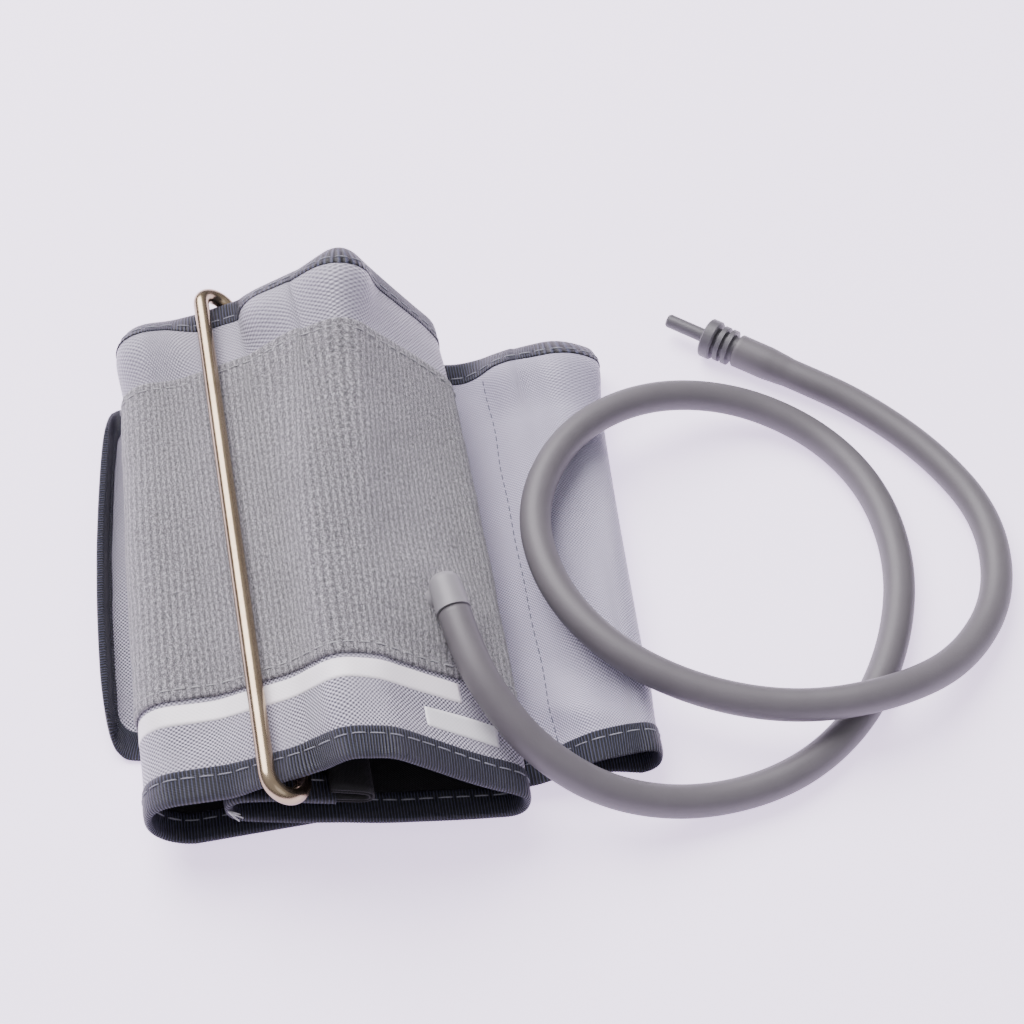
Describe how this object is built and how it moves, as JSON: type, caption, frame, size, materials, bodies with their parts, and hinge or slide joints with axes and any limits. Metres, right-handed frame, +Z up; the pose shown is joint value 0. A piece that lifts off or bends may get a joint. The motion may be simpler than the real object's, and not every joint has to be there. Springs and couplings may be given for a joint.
{
  "type": "blood pressure cuff",
  "caption": "Rolled-up arm cuff of bound nylon with a sewn-in bladder, touch-fastening panels, a metal ring, an air hose and an air plug.",
  "frame": {"origin": "centre of the rolled cuff's bounding box, on the surface it lies on; the hose and its plug are left out of the box", "axes": "+Z up; +Y along the metal ring's bars, towards the rear of the cuff; +X across, towards the folded end and the hose"},
  "size_m": [0.2319, 0.1653, 0.0418],
  "materials": {
    "nylon_cover": "woven nylon",
    "nylon_lining": "woven nylon",
    "loop_pile": "brushed loop pile",
    "hook_tape": "moulded hook tape",
    "binding_tape": "ribbed tape",
    "white_print": "matte print",
    "white_label": "satin",
    "bladder_film": "smooth film",
    "port_plastic": "matte",
    "hose_rubber": "matte",
    "plug_plastic": "matte",
    "sleeve_cloth": "woven nylon",
    "ring_metal": "polished",
    "binding_thread": "twisted thread",
    "panel_thread": "twisted thread",
    "dark_thread": "twisted thread"
  },
  "bodies": {
    "cuff": {"outer_cover": "nylon_cover", "inner_lining": "nylon_lining", "tail_lining": "nylon_cover", "loop_panel": "loop_pile", "hook_panel": "hook_tape", "front_binding": "binding_tape", "rear_binding": "binding_tape", "tail_binding": "binding_tape", "range_stripe": "white_print", "index_label": "white_label", "bladder_outer_sheet": "bladder_film", "bladder_inner_sheet": "bladder_film", "port_flange": "port_plastic", "port_elbow": "port_plastic", "air_hose": "hose_rubber", "air_plug": "plug_plastic", "ring_sleeve": "sleeve_cloth", "front_binding_thread": "binding_thread", "rear_binding_thread": "binding_thread", "loop_front_thread": "panel_thread", "loop_rear_thread": "panel_thread", "pocket_seam_thread": "dark_thread", "sleeve_thread": "dark_thread"},
    "ring": {"metal_ring": "ring_metal"}
  },
  "joints": [
    {"name": "ring_tilt", "type": "hinge", "parent": "cuff", "child": "ring", "pos_m": [-0.02318, 0, 0.0263], "axis": [0, 1, 0], "range_deg": [0, 48]}
  ]
}
